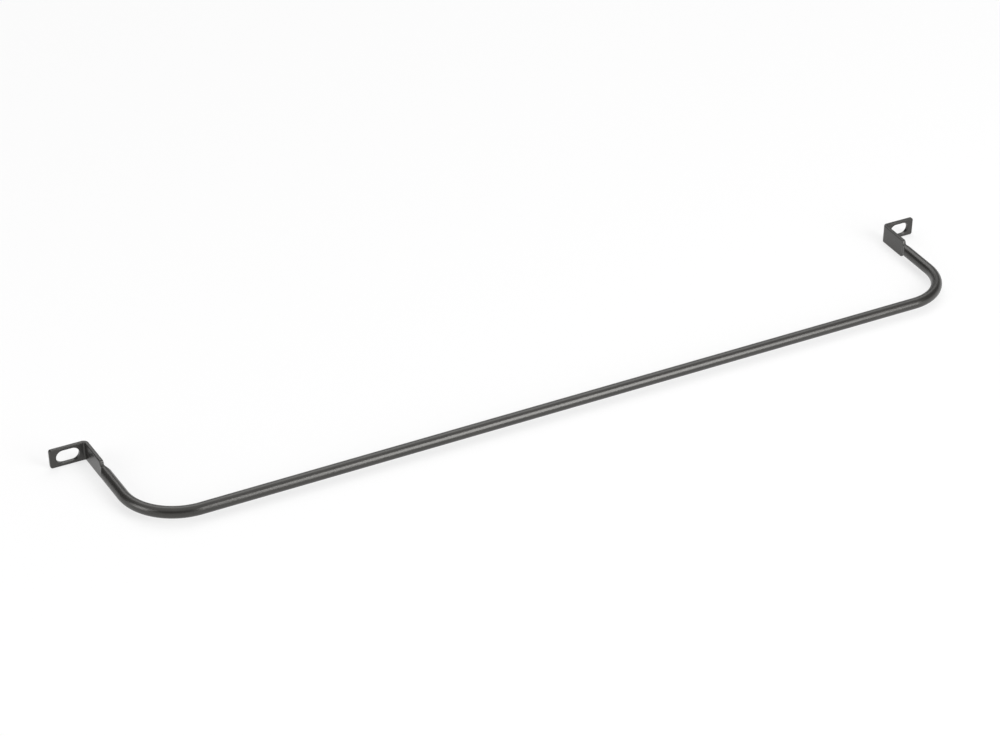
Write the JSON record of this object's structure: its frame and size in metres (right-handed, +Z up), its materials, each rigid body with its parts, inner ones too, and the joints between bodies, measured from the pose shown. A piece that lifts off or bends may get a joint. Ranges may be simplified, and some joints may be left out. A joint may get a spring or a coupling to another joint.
{
  "type": "rack cable lacing bar",
  "caption": "Round black bar bent back at both ends into flattened, folded and slotted tabs; bolts across a rack's rails so that cables can be laid along it and tied to it.",
  "frame": {"origin": "midway between the two slots' centres, on the tabs' rear mounting face", "axes": "+X along the bar to the right seen from the front, +Y towards the rack's rails, +Z up"},
  "size_m": [0.4826, 0.0724, 0.0098],
  "materials": {
    "black_finish": "satin"
  },
  "bodies": {
    "root": {"lacing_bar": "black_finish"}
  },
  "joints": []
}
